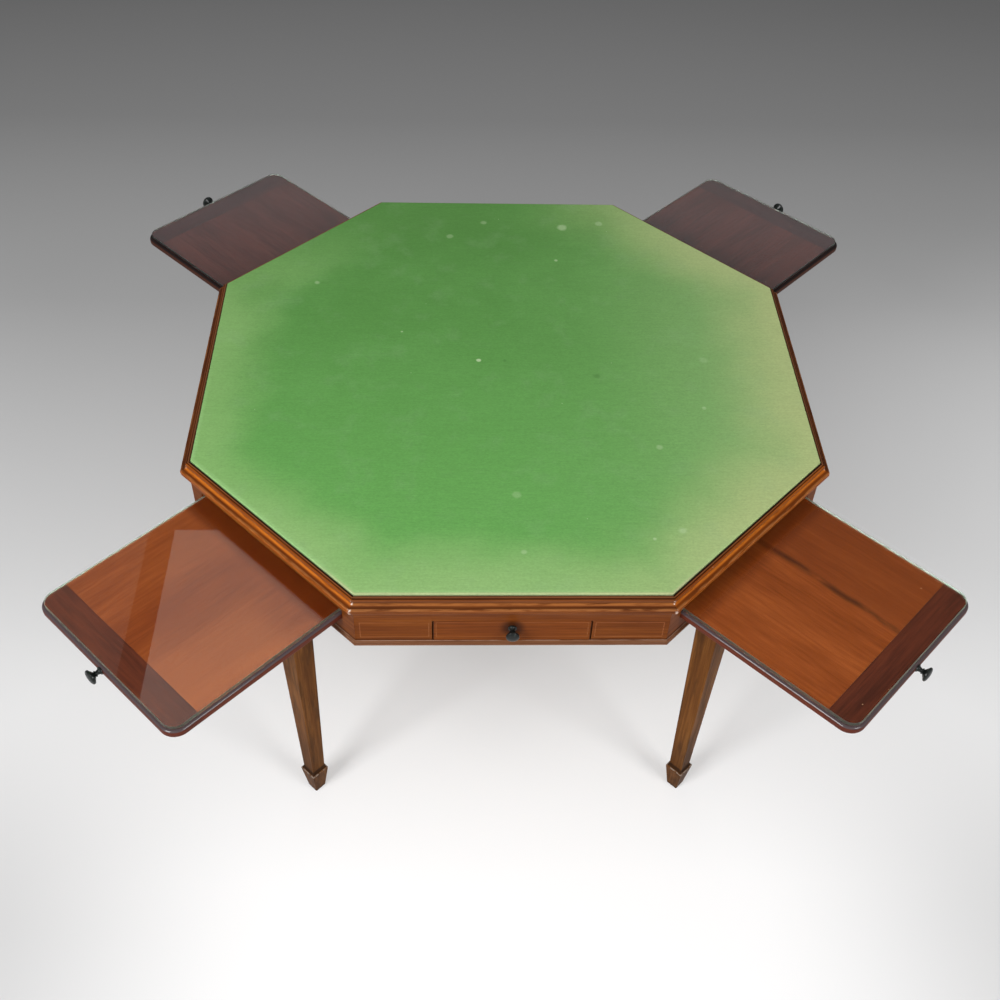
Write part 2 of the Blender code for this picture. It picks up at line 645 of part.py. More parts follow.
clear_scene()
TABLE = new_collection("card_table")
CUTTERS = new_collection("cutters")
BAIZE = material("baize", (0.10, 0.33, 0.08), 0.95)
MAHOGANY = material("mahogany", (0.20, 0.055, 0.018), 0.35)
DEAL = material("deal", (0.42, 0.25, 0.12), 0.75)
LINING = material("drawer_lining", (0.45, 0.28, 0.14), 0.65)
GLASS = material("plate_glass", (0.55, 0.75, 0.62), 0.05)
EBONISED = material("ebonised_wood", (0.018, 0.020, 0.018), 0.35)

make_top()
make_apron()
make_inner_frame()
make_legs()
for corner_side in CORNER:
    make_slide(corner_side)
for straight_side in STRAIGHT:
    make_drawer(straight_side)
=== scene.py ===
"""The looks of an octagonal card table: polished mahogany, faded green baize, plate glass, black knobs.

Metres, +Z up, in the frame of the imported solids. The front faces -Y. The octagon's sides are counted
counterclockwise from the front: even sides are straight and hold drawers, odd ones are the corner
sides with the slides and legs. The pieces of a side are worked out as if it faced -Y ("own frame":
x along the side, -y away from the middle) and are then turned into place.
An "offset" is a distance outwards from the edge of the cloth, square to the side.
"""

import math

import bmesh
import bpy
import numpy as np
from mathutils import Matrix, Vector


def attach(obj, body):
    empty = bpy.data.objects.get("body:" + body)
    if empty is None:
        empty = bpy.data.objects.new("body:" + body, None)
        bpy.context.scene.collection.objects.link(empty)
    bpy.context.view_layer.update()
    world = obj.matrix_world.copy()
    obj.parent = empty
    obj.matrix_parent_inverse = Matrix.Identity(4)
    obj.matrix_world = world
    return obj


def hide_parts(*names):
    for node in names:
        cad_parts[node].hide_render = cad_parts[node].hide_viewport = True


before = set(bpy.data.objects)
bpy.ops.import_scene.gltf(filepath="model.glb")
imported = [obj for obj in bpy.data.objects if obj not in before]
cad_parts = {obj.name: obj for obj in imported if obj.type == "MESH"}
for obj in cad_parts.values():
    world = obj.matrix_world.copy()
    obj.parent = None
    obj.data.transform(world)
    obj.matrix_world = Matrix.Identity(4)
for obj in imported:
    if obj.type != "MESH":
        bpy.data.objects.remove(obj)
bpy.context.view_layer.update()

RNG = np.random.default_rng(7)

SIDES = ["front", "front_right", "right", "back_right", "back", "back_left", "left", "front_left"]
STRAIGHT = range(0, 8, 2)
CORNER = range(1, 8, 2)
MITRE = math.tan(math.radians(22.5))
ROOT = math.sqrt(2)
MM = 0.001


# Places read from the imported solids

def xyz(x, y, z):
    """Points from three arrays of coordinates, each spread over the axes of the others."""
    return np.stack(np.broadcast_arrays(x, y, z), axis=-1)


def turned(points, side):
    """Points of the front side turned about Z by an eighth of a turn for each side."""
    angle = math.radians(45 * side)
    x, y, z = np.moveaxis(points, -1, 0)
    return xyz(x * math.cos(angle) - y * math.sin(angle), x * math.sin(angle) + y * math.cos(angle), z)


def own_points(node, side=0):
    """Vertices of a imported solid, turned back as if its side faced -Y."""
    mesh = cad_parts[node].data
    points = np.empty(len(mesh.vertices) * 3)
    mesh.vertices.foreach_get("co", points)
    return turned(points.reshape(-1, 3), -side)


def span(node, side=0):
    """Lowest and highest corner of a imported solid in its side's own frame."""
    points = own_points(node, side)
    return points.min(axis=0), points.max(axis=0)


CLOTH_LOW, CLOTH_HIGH = span("baize")
CLOTH_HALF = CLOTH_HIGH[0]
STRAIGHT_HALF = max(x for x, y, _ in own_points("baize") if y < -CLOTH_HALF + MM / 100)
CORNER_APOTHEM = (CLOTH_HALF + STRAIGHT_HALF) / ROOT
CORNER_HALF = (CLOTH_HALF - STRAIGHT_HALF) / ROOT
LIPPING_LOW, LIPPING_HIGH = span("lipping_front")
BAND_Z = LIPPING_HIGH[2]
TOP_UNDERSIDE = LIPPING_LOW[2]
LIPPING_REACH = -LIPPING_LOW[1] - CLOTH_HALF
APRON_LOW, APRON_HIGH = span("apron_front")
APRON_BACK = -APRON_HIGH[1] - CLOTH_HALF
COVE_REACH = -APRON_LOW[1] - CLOTH_HALF
DRAWER_LOW, DRAWER_HIGH = span("drawer_front_front")
APRON_FACE = -DRAWER_LOW[1] - CLOTH_HALF
BASE_LOW, BASE_HIGH = span("base_moulding")
BASE_REACH = -BASE_LOW[1] - CLOTH_HALF
KNOB_LOW, KNOB_HIGH = span("drawer_knob_front")
KNOB_Z = (KNOB_LOW[2] + KNOB_HIGH[2]) / 2
_, BOARD_HIGH = span("slide_board_front_right", 1)
SLIDE_HALF = BOARD_HIGH[0]
SLIDE_TOP = BOARD_HIGH[2]
SLIDE_OUTER = -span("slide_clamp_front_right", 1)[0][1]
LEG_LOW, LEG_HIGH = span("leg_front_right", 1)
LEG_CENTRE_Y = (LEG_LOW[1] + LEG_HIGH[1]) / 2
LEG_TOP = LEG_HIGH[0] - LEG_LOW[0]

# Fine sizes that the solids only hint at
REBATE = 1.5 * MM             # how far the lipping reaches under the cloth
GROOVE = 1.3 * MM             # open line between the cloth and the lipping
BAND_END = 4.8 * MM           # offset of the flat band's outer arris
BAND_FALL = 0.4 * MM
QUIRK_Z = BAND_Z - 1.9 * MM   # floor of the quirk outside the band
QUIRK_END = 5.6 * MM
BEAD = 2.4 * MM               # radius of the round shoulder outside the quirk
BEAD_DROP = 3.2 * MM          # upright face between that shoulder and the hollow
NOSE = 3.0 * MM               # radius of the two arrises of the nose
NOSE_FACE = 4.2 * MM          # upright face between them
COVE_HEIGHT = 25.2 * MM
JOINT = 0.3 * MM              # between pieces that touch
RUN = 0.4 * MM                # between a slide and its slot
SHOULDER = 0.8 * MM           # round a moving piece
DRAWER_END = 1.4 * MM         # between the ends of a drawer front and its opening
BASE_FOOT = 4.0 * MM
SOFT = 0.35 * MM              # rounding of a worn arris
SLIDE_CORNER = 24 * MM        # radius of a slide's outer corners
SLIDE_ROUND = 4.5 * MM        # its upper arris, which is all of the margin outside the glass
SLIDE_UNDER = 2.4 * MM        # its lower arris
CLAMP_LINE = 0.12 * MM        # open line between its board and its clamp
GLASS_INSET = 5 * MM          # glass to the edge of its board
GLASS_CORNER = 19 * MM
GLASS_SOFT = 0.7 * MM         # rounding of its arrises
DRAWER_SOFT = 0.5 * MM        # rounding of a drawer front's arrises
CLOTH_THICK = 1.0 * MM
LEG_ANKLE = 26.6 * MM
FOOT_WIDE = 35 * MM
FOOT_TIP = 20.8 * MM
FOOT_ARRIS_Z = 61 * MM
FOOT_SHOULDER_Z = 70 * MM
LEG_LINE_INSET = 4.6 * MM     # boxwood line to the arris beside it
LEG_SOFT = 0.9 * MM


# Meshes

def arc(centre, radii, start, end, steps):
    """Points centre + (rx cos a, ry sin a) for a from start to end in degrees; a circle has one radius."""
    angle = np.radians(np.linspace(start, end, steps + 1))
    return np.array(centre) + np.array(radii) * np.stack([np.cos(angle), np.sin(angle)], axis=-1)


def grid_faces(rows, columns, wrap=False):
    """Quads between neighbours of a grid of points; wrap joins the last column to the first."""
    row, column = np.indices((rows - 1, columns if wrap else columns - 1))
    after = (column + 1) % columns
    corners = [row * columns + column, row * columns + after,
               (row + 1) * columns + after, (row + 1) * columns + column]
    return np.stack(corners, axis=-1).reshape(-1, 4)


def make_piece(name, points, faces, side=0, grain=0, extra=None, sharp=35.0):
    """A closed mesh from own-frame points, turned to its side, with its pattern coordinates.

    The attribute "place" holds the own-frame position. "grain" holds the same with the grain's axis
    first and a shift of its own for each piece, so that no two boards share a figure. Normals are
    weighted by area, so that a flat face stays flat up to its rounded arrises.
    """
    points = points.reshape(-1, 3)
    mesh = bpy.data.meshes.new(name)
    mesh.from_pydata(turned(points, side).tolist(), [], sum((block.tolist() for block in faces), []))
    order = [grain] + [axis for axis in range(3) if axis != grain]
    fields = {"place": points, "grain": points[:, order] + RNG.uniform(0.0, 4.0, 3)}
    fields.update(extra or {})
    for key, values in fields.items():
        stored = mesh.attributes.new(key, "FLOAT_VECTOR", "POINT")
        stored.data.foreach_set("vector", np.ascontiguousarray(values, np.float32).ravel())
    work = bmesh.new()
    work.from_mesh(mesh)
    bmesh.ops.remove_doubles(work, verts=work.verts, dist=MM / 1000)
    bmesh.ops.recalc_face_normals(work, faces=work.faces)
    work.to_mesh(mesh)
    work.free()
    mesh.shade_smooth()
    mesh.set_sharp_from_angle(angle=math.radians(sharp))
    made = bpy.data.objects.new(name, mesh)
    bpy.context.scene.collection.objects.link(made)
    made.modifiers.new("flats", "WEIGHTED_NORMAL").keep_sharp = True
    return made


def dress(made, finish, node, body="table"):
    """Give a piece its finish and slot, let it ride on its body and stand for its solid."""
    made.data.materials.append(finish)
    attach(made, body)
    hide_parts(node)


def side_sizes(side):
    """Distance from the middle to a side of the cloth, and half of that side's length."""
    return (CLOTH_HALF, STRAIGHT_HALF) if side in STRAIGHT else (CORNER_APOTHEM, CORNER_HALF)


def carried(section, side, stations):
    """A section of (offset, height) carried along a side between its mitres.

    At station s from -1 to 1 a point of offset d lies at x = s (half + d tan 22.5) and at
    y = -(apothem + d), so that the ends follow the mitres. The second result holds the distance
    from the nearer mitre, the offset and the height of each point.
    """
    apothem, half = side_sizes(side)
    offset, height = section.T
    reach = half - JOINT / 2 + offset * MITRE
    x = stations[:, None] * reach
    return xyz(x, -(apothem + offset), height), xyz(reach - np.abs(x), offset, height).reshape(-1, 3)


def closed_faces(rows, columns):
    """Faces of a closed section carried along a path, and one face over each of its ends."""
    ring = np.arange(columns)
    return [grid_faces(rows, columns, wrap=True), np.stack([ring, (rows - 1) * columns + ring[::-1]])]


def octagon_ring(offset, shares):
    """Points round the octagon at an offset: each corner to the next by shares of the way."""
    far = CLOTH_HALF + offset
    near = STRAIGHT_HALF + offset * MITRE
    corners = np.array([(-near, -far), (near, -far), (far, -near), (far, near),
                        (near, far), (-near, far), (-far, near), (-far, -near)])
    after = np.roll(corners, -1, axis=0)
    return (corners[:, None] + shares[None, :, None] * (after - corners)[:, None]).reshape(-1, 2)


# Node trees

def linear(hex_colour):
    """An sRGB colour written in hex, as linear RGBA."""
    srgb = np.array([int(hex_colour[i:i + 2], 16) for i in (1, 3, 5)]) / 255
    value = np.where(srgb <= 0.04045, srgb / 12.92, ((srgb + 0.055) / 1.055) ** 2.4)
    return (*value.tolist(), 1.0)


def add(tree, kind, *inputs, out=0, stops=None, **settings):
    """Add one node with its settings and links, and return one of its outputs.

    The inputs feed its sockets in order: a socket, a value, a colour in hex, or None to leave one alone.
    """
    made = tree.nodes.new("ShaderNode" + kind)
    for key, value in settings.items():
        setattr(made, key, value)
    for socket, value in zip([socket for socket in made.inputs if socket.enabled], inputs):
        if isinstance(value, bpy.types.NodeSocket):
            tree.links.new(value, socket)
        elif value is not None:
            socket.default_value = linear(value) if isinstance(value, str) else value
    if stops:
        ramp = made.color_ramp.elements
        ramp[0].position, ramp[1].position = stops[0][0], stops[-1][0]
        ramp[0].color, ramp[1].color = linear(stops[0][1]), linear(stops[-1][1])
        for position, colour in stops[1:-1]:
            ramp.new(position).color = linear(colour)
    return made.outputs[out] if isinstance(out, str) else [o for o in made.outputs if o.enabled][out]


def feed(shader, **values):
    """Link outputs to a shader's sockets, and set plain values on the sockets themselves."""
    for key, value in values.items():
        socket = shader.inputs[key.replace("_", " ")]
        if isinstance(value, bpy.types.NodeSocket):
            shader.id_data.links.new(value, socket)
        else:
            socket.default_value = value


def new_finish(name, **values):
    """A material with one Principled shader, and values for its sockets."""
    made = bpy.data.materials.new(name)
    made.use_nodes = True
    tree = made.node_tree
    shader = tree.nodes["Principled BSDF"]
    feed(shader, **values)
    return made, tree, shader


def layers(tree, colour, *coats):
    """Lay colours over a first one in turn.

    A coat is its colour, its share and its ramps (value, start, end), each of which multiplies the
    share by a smooth 0 to 1.
    """
    for coat, share, *ramps in coats:
        for value, start, end in ramps:
            rise = add(tree, "MapRange", value, start, end, interpolation_type="SMOOTHSTEP")
            share = add(tree, "Math", share, rise, operation="MULTIPLY")
        colour = add(tree, "Mix", share, colour, coat, data_type="RGBA")
    return colour


def patches(tree, where, sizes, detail=3.0, distortion=0.0):
    """Uneven values about 0.5 in blobs of those sizes, in metres, along the axes of the coordinates."""
    scaled = add(tree, "Mapping", where, None, None, tuple(1 / size for size in sizes))
    return add(tree, "TexNoise", scaled, 1.0, detail, 0.55, 2.0, distortion)


def specks(tree, where, cell, size, share):
    """Small round marks: a share of the Voronoi cells of that width hold one of about that size."""
    scaled = add(tree, "Mapping", where, None, None, (1 / cell,) * 3)
    away = add(tree, "TexVoronoi", scaled, 1.0)
    chance = add(tree, "SeparateColor", away.node.outputs["Color"])
    kept = add(tree, "Math", chance, share, operation="LESS_THAN")
    near = add(tree, "MapRange", away, size / cell, size / cell / 3, interpolation_type="SMOOTHSTEP")
    return add(tree, "Math", kept, near, operation="MULTIPLY")


def field(tree, name):
    """A coordinate attribute, whole and split into its three parts."""
    vector = add(tree, "Attribute", attribute_name=name, out="Vector")
    return vector, list(add(tree, "SeparateXYZ", vector).node.outputs)


def past_corner(tree, place, half, outer, radius):
    """How far a place lies out from the inner rectangle of a slide with round corners.

    It is the length of max((|x|, |y|) - (half - r, outer - r), 0), which reaches r at the very edge.
    """
    folded = add(tree, "VectorMath", place, operation="ABSOLUTE")
    past = add(tree, "VectorMath", folded, (half - radius, outer - radius, 1.0), operation="SUBTRACT")
    past = add(tree, "VectorMath", past, (0.0, 0.0, 0.0), operation="MAXIMUM")
    return add(tree, "VectorMath", past, operation="LENGTH")


# Wood

def wood_finish(name, tones, roughness, broad=(0.40, 0.030, 0.030), streak=(0.10, 0.0035, 0.0035),
                turn=None, pores_open=0.25, **values):
    """Wood drawn on coordinates whose first axis runs along the grain; its shine follows the figure.

    Broad bands carry the change of tone, streaks a few millimetres wide carry the grain, and short
    dark pores, drawn at twice their real width so that they show, break it up and lie a little
    open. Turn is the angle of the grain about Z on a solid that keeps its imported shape.
    """
    finish, tree, shader = new_finish(name, **values)
    if turn is None:
        where, _ = field(tree, "grain")
    else:
        where = add(tree, "Mapping", add(tree, "TexCoord", out="Object"), None, (0.0, 0.0, turn), None)
    bands = patches(tree, where, broad, detail=2.0, distortion=0.6)
    grain = patches(tree, where, streak, detail=4.0, distortion=0.25)
    pores = patches(tree, where, (0.014, 0.0007, 0.0007), detail=1.0)
    tone = add(tree, "Math", add(tree, "Math", grain, bands, operation="ADD"), 0.5, operation="MULTIPLY")
    figure = add(tree, "ValToRGB", tone, stops=list(zip((0.34, 0.50, 0.66), tones)))
    uneven = add(tree, "MapRange", tone, 0.35, 0.65, roughness + 0.06, roughness - 0.04)
    bump = add(tree, "Bump", pores_open, 0.05 * MM, None, pores, invert=True)
    feed(shader, Roughness=uneven, Normal=bump)
    return finish, tree, shader, where, layers(tree, figure, (tones[0], 0.35, (pores, 0.60, 0.72)))


def polished(name, tones, coat=0.04, specular=0.07, **more):
    """French-polished mahogany, red-brown with a straight fine grain.

    The old film has gone rather dull, so it mirrors the pale studio only a little.
    """
    return wood_finish("polished_mahogany_" + name, tones, 0.45, Coat_Weight=coat, Coat_Roughness=0.12,
                       IOR=1.5, Specular_IOR_Level=specular, **more)


def below(millimetres):
    """Height of a place that lies so many millimetres below the face of the cloth."""
    return CLOTH_HIGH[2] - millimetres * MM


STRINGING = "#86522f"         # boxwood line, toned down by old polish
STRINGING_EDGE = (0.9 * MM, 0.4 * MM)   # its soft edge, from the middle of the line
STRINGING_Z = below(73)       # middle of the panels that the line frames
STRINGING_HIGH = 16 * MM      # half their height
PANEL_INSET = 7.5 * MM        # stringing to the corner of the apron
PANEL_GAP = 4.5 * MM          # stringing to the drawer's opening


def boxwood_line(tree, where, x, z, middle, half, share, rubbed):
    """The coat of a faint line round a panel, rubbed away here and there.

    The distance from the line is the size of max(|x - middle| - half, |z - its middle| - its half).
    """
    sides = []
    for value, centre, reach in ((x, middle, half), (z, STRINGING_Z, STRINGING_HIGH)):
        shifted = add(tree, "Math", value, centre, operation="SUBTRACT")
        away = add(tree, "Math", shifted, operation="ABSOLUTE")
        sides.append(add(tree, "Math", away, reach, operation="SUBTRACT"))
    away = add(tree, "Math", add(tree, "Math", *sides, operation="MAXIMUM"), operation="ABSOLUTE")
    return STRINGING, share, (away, *STRINGING_EDGE), (patches(tree, where, (0.05, 0.003, 0.003)), *rubbed)


def lipping_finish(name, tones, cloth_edge_shade, hollow_fade_and_light, chips):
    """Moulded mahogany edge: a rubbed flat band, a bright hollow, chips at the mitres, painted shade by the
    cloth and above the nose, and a painted highlight along the nose.

    The hollow's colour stands for faded polish brightened with painted light. The first argument after the
    tones is the share of the painted shade by the cloth, the next the colour of the hollow, and the last the
    share of the chips.
    """
    finish, tree, shader, where, colour = polished(name, tones, 0.03, 0.05)
    _, (to_mitre, offset, z) = field(tree, "trim")
    blotch = patches(tree, where, (0.03, 0.004, 0.004))
    chip = patches(tree, where, (0.006, 0.003, 0.003))
    chipped, bare = (chip, 0.46, 0.58), "#e0cdbf"
    colour = layers(
        tree, colour,
        ("#7d5336", 0.6, (offset, BAND_END, BAND_END - 0.4 * MM)),  # rubbed band
        # painted shade along the cloth's edge
        ("#1c0d06", cloth_edge_shade, (offset, 3.9 * MM, 2.9 * MM)),
        ("#341407", 0.8, (offset, 4.5 * MM, 4.8 * MM), (offset, 6.6 * MM, 5.8 * MM)),  # quirk
        ("#6d4630", 0.4, (offset, 7.5 * MM, 7.9 * MM), (z, below(11), below(10))),  # shoulder
        # faded polish in the hollow, brightened with painted light
        (hollow_fade_and_light, 0.80, (z, below(10.2), below(11.0)), (z, below(14.6), below(13.2)), (blotch, 0.25, 0.60)),
        ("#3c1c0c", 0.55, (z, below(14.2), below(15.0)), (z, below(16.6), below(15.8))),  # painted shade above the nose
        ("#a1683a", 0.5, (offset, 13.6 * MM, 14.6 * MM), (z, below(18.4), below(17.2)),  # rubbed nose with a painted highlight along it
         (blotch, 0.36, 0.60)),
        (bare, chips, (to_mitre, 3.0 * MM, 0.5 * MM), (offset, 7.4 * MM, 7.8 * MM),
         (offset, 9.2 * MM, 8.6 * MM), chipped),
        (bare, chips, (to_mitre, 4.0 * MM, 0.5 * MM), (offset, 14.4 * MM, 15.4 * MM), chipped),
        ("#c9a78e", specks(tree, where, 16 * MM, 0.8 * MM, 0.10)))
    feed(shader, Base_Color=colour)
    return finish


def apron_finish(name, panel=None):
    """Apron board, with a line round each panel beside the drawer; a panel is its middle and half length."""
    finish, tree, shader, where, colour = polished(name, ("#53270d", "#65330f", "#764014"), 0.02, 0.04)
    _, (x, _, z) = field(tree, "place")
    # painted shade at the foot of the apron, above the base moulding
    coats = [("#2f160b", 0.5, (z, below(91.5), below(94.5)))]
    if panel:
        across = add(tree, "Math", x, operation="ABSOLUTE")
        coats.append(boxwood_line(tree, where, across, z, *panel, 0.8, (0.28, 0.62)))
    coats.append(("#c0987a", specks(tree, where, 18 * MM, 0.7 * MM, 0.10)))
    feed(shader, Base_Color=layers(tree, colour, *coats))
    return finish


def drawer_finish():
    """Drawer front with its own faint line, darker at its ends and round the knob: painted shade by the gaps
    at its ends, and handling grime with the knob's painted shadow round the knob.
    """
    finish, tree, shader, where, colour = polished("drawer", ("#57290d", "#6a350f", "#7d4315"), 0.02, 0.04)
    place, (x, _, z) = field(tree, "place")
    across = add(tree, "Math", x, operation="ABSOLUTE")
    end = DRAWER_HIGH[0]
    grime_and_knob_shadow = add(tree, "VectorMath", place, (0.0, DRAWER_LOW[1], KNOB_Z), operation="DISTANCE")
    feed(shader, Base_Color=layers(
        tree, colour,
        boxwood_line(tree, where, x, z, 0.0, end - PANEL_GAP, 0.7, (0.30, 0.65)),
        # painted shade by the gaps at the drawer's ends
        ("#1c0d07", 0.8, (across, end - 2.0 * MM, end - 0.6 * MM)),
        # handling grime and the knob's painted shadow round the knob
        ("#220f07", 0.75, (grime_and_knob_shadow, 22 * MM, 8 * MM))))
    return finish


def leg_finish():
    """Mahogany leg with a boxwood line inside each arris; the spade foot's shoulder is dark."""
    finish, tree, shader, where, colour = polished("leg", ("#4c2c12", "#643c18", "#7b4f23"), 0.0, 0.03)
    _, (_, inset, z) = field(tree, "face")
    worn = patches(tree, where, (0.09, 0.012, 0.012))
    rubbed = patches(tree, where, (0.02, 0.006, 0.006))
    feed(shader, Base_Color=layers(
        tree, colour,
        ("#33200f", 0.5, (worn, 0.48, 0.66)),
        ("#b48a58", 0.75, (inset, LEG_LINE_INSET - 1.1 * MM, LEG_LINE_INSET - 0.4 * MM),  # boxwood line
         (inset, LEG_LINE_INSET + 1.1 * MM, LEG_LINE_INSET + 0.4 * MM),
         (z, FOOT_SHOULDER_Z + 1 * MM, FOOT_SHOULDER_Z + 4 * MM)),
        ("#2a1a10", 0.35, (z, 0.28, 0.05)),
        ("#20150e", 0.75, (z, FOOT_ARRIS_Z + 0.5 * MM, FOOT_ARRIS_Z + 2 * MM),  # shoulder
         (z, FOOT_SHOULDER_Z + 4 * MM, FOOT_SHOULDER_Z - 1 * MM)),
        ("#93877c", 0.6, (rubbed, 0.38, 0.56), (z, FOOT_ARRIS_Z - 1.2 * MM, FOOT_ARRIS_Z - 0.4 * MM),
         (z, FOOT_ARRIS_Z + 1.0 * MM, FOOT_ARRIS_Z + 0.4 * MM)),  # worn arris with a painted highlight
        ("#24160e", 0.6, (z, 9 * MM, 1 * MM))))
    return finish


def slide_finish(name, tones, mark=None, kept=0.0, shine=0.6, side="#552619", edge="#463a3c"):
    """Polished board of a slide: its face is bright under the glass, its margin and side are dark and shiny.

    A mark is the place across the board of a dark streak in the wood. "kept" is the share of a painted shade
    along the board's inner end, next to the top, where the top's edge shades it. Side is the colour of the
    margin, edge the colour of its arris, painted as the arris's reflection of the studio on the front slides
    and as shade on the back ones, and shine the arris's coat.
    """
    finish, tree, shader, where, colour = polished(
        name, tones, specular=0.08, broad=(0.30, 0.05, 0.05), streak=(0.06, 0.004, 0.004), pores_open=0.03)
    place, (x, y, z) = field(tree, "place")
    coats = []
    if mark is not None:
        bend = patches(tree, where, (0.12, 0.3, 0.3))
        wander = add(tree, "Math", bend, 20 * MM, x, operation="MULTIPLY_ADD")
        uneven = patches(tree, where, (0.06, 0.02, 0.02))
        middle = mark + 10 * MM
        coats += [("#6a2a10", 0.5, (wander, mark, mark + 16 * MM)),
                  ("#30140a", 0.75, (wander, mark, middle), (wander, mark + 18 * MM, middle),
                   (uneven, 0.25, 0.6))]
    elif kept:
        coats.append(("#a9562f", 0.42, (y, -0.54, -0.61), (x, 0.00, 0.10)))   # lighter towards the outer corner
    # painted shade along the inner end, where the top's edge shades the board
    if kept:
        inner = -(CORNER_APOTHEM + LIPPING_REACH)
        coats.append(("#551902", kept, (y, inner - 31 * MM, inner - 11 * MM)))
    away = past_corner(tree, place, SLIDE_HALF, SLIDE_OUTER, SLIDE_CORNER)
    margin = (away, SLIDE_CORNER - 5.4 * MM, SLIDE_CORNER - 4.8 * MM)
    upper = add(tree, "MapRange", z, SLIDE_TOP - 2.8 * MM, SLIDE_TOP - 1.8 * MM)
    arris = add(tree, "Math", add(tree, "MapRange", *margin), upper, operation="MULTIPLY")
    feed(shader, Coat_Weight=add(tree, "Math", arris, shine, operation="MULTIPLY"), Base_Color=layers(
        tree, colour, *coats,
        ("#3f1b0c", 0.3, (specks(tree, where, 90 * MM, 7 * MM, 0.35), 0.0, 1.0)),
        ("#d2a283", 0.7, (specks(tree, where, 24 * MM, 1.2 * MM, 0.20), 0.0, 1.0)),
        # the arris colour is a painted reflection on the front slides and painted shade on the back ones
        (side, 0.9, margin), (edge, arris)))
    return finish


def base_finish():
    """Base moulding: dusty above, rubbed pale along its lower arris."""
    finish, tree, shader, where, colour = polished("base", ("#53311e", "#68432b", "#775038"))
    _, (_, _, z) = field(tree, "place")
    rubbed = (patches(tree, where, (0.04, 0.02, 0.02)), 0.35, 0.6)
    feed(shader, Base_Color=layers(
        tree, colour,
        ("#b09382", 0.5, (z, BASE_HIGH[2] - 1.4 * MM, BASE_HIGH[2] - 0.4 * MM), rubbed),
        ("#96705a", 0.8, (z, BASE_LOW[2] + 1.6 * MM, BASE_LOW[2] + 0.4 * MM), rubbed)))
    return finish


def plain_wood(name, tones, turn):
    """Unpolished softwood: matt, pale and coarse; turn is the angle of its grain about Z."""
    broad, streak = (0.9, 0.05, 0.05), (0.25, 0.006, 0.006)
    finish, _, shader, _, colour = wood_finish(name, tones, 0.7, broad, streak, turn)
    feed(shader, Base_Color=colour)
    return finish


# Woollen baize: a milled, raised cloth. It is matt, bleached towards its edges and dirty on the right.
BAIZE_MARKS = [
    # x, y, radius in mm, and how pale the mark is (below 0: dark)
    (118, 399, 11, 0.45), (188, 412, 7, 0.3), (-28, 412, 6, 0.25), (-91, 367, 7, 0.25),
    (101, 295, 4, 0.45), (-170, 89, 3, 0.5), (-42, 16, 4, 0.8), (1, 16, 4, -0.4), (151, -22, 8, -0.35),
    (234, -188, 7, 0.3), (247, -361, 9, 0.4), (17, -401, 6, 0.3), (205, -376, 4, 0.5),
    (-322, 224, 6, 0.35), (10, -290, 7, 0.2), (330, 20, 9, 0.15), (315, -98, 4, 0.3),
]


def baize_finish():
    """Green woollen baize: deep green where it was shaded, bleached pale round the edge."""
    finish, tree, shader = new_finish("woollen_baize", Roughness=0.95, Sheen_Weight=0.12, Sheen_Roughness=0.6,
                                      Specular_IOR_Level=0.2, Sheen_Tint=linear("#cfe8b0"))
    place, (x, y, _) = field(tree, "place")
    _, (inset, _, _) = field(tree, "trim")
    cloud = patches(tree, place, (0.16, 0.16, 0.16))
    patch = patches(tree, place, (0.045, 0.045, 0.045), detail=4.0)
    # The nap's tufts and rows are drawn some three times as coarse as they are, so that they show.
    nap = patches(tree, place, (0.0035, 0.0022, 0.01), detail=2.0)
    rows = patches(tree, place, (0.030, 0.0016, 0.01), detail=1.0)
    ragged = add(tree, "Math", cloud, -0.11, inset, operation="MULTIPLY_ADD")
    colour = layers(
        tree, "#4a8138",
        ("#5f9c4d", 1.0, (y, 0.42, -0.46)),
        ("#66a054", 0.25, (cloud, 0.35, 0.75)),
        ("#6c9c58", 0.45, (x, -0.05, 0.30)),
        ("#8db26e", 0.55, (ragged, 0.075, -0.060), (x, 0.46, 0.10), (y, 0.50, 0.10)),  # bleached left
        ("#94b575", 0.45, (ragged, 0.075, -0.060), (y, -0.20, -0.42)),  # and front edges
        ("#90ac74", 0.50, (x, 0.12, 0.47)),
        ("#b0b67e", 0.75, (ragged, 0.110, -0.060), (x, 0.02, 0.46)),  # dirty right edge
        ("#4a7f38", 0.45, (y, 0.22, 0.44), (x, 0.12, -0.12)),
        # painted highlight along the cloth's rounded rim at the front and left
        ("#9ac783", 0.40, (inset, 8 * MM, 2 * MM), (x, 0.55, -0.2), (y, 0.1, -0.3)),
        ("#b9a988", 0.45, (inset, 4 * MM, 1 * MM), (y, -0.40, -0.47)),
        ("#86a47a", 0.12, (patch, 0.50, 0.75)))
    for mark_x, mark_y, radius, paleness in BAIZE_MARKS:
        spot = (mark_x * MM, mark_y * MM, CLOTH_HIGH[2])
        away = add(tree, "VectorMath", place, spot, operation="DISTANCE")
        away = add(tree, "Math", patch, radius * 2 * MM, away, operation="MULTIPLY_ADD")
        colour = layers(tree, colour, ("#b5cf9f" if paleness > 0 else "#2c5a22", abs(paleness),
                                       (away, 2 * radius * MM, 1.3 * radius * MM)))
    colour = layers(tree, colour, ("#cfe0bb", 0.35, (specks(tree, place, 22 * MM, 1.2 * MM, 0.10), 0.0, 1.0)))
    fibre = add(tree, "Mix", 0.3, nap, rows)
    shade = add(tree, "MapRange", fibre, 0.3, 0.7, 0.88, 1.12)
    shade = add(tree, "CombineColor", shade, shade, shade)
    feed(shader, Normal=add(tree, "Bump", 0.5, 0.25 * MM, None, fibre),
         Base_Color=add(tree, "Mix", 1.0, colour, shade, data_type="RGBA", blend_type="MULTIPLY"))
    return finish


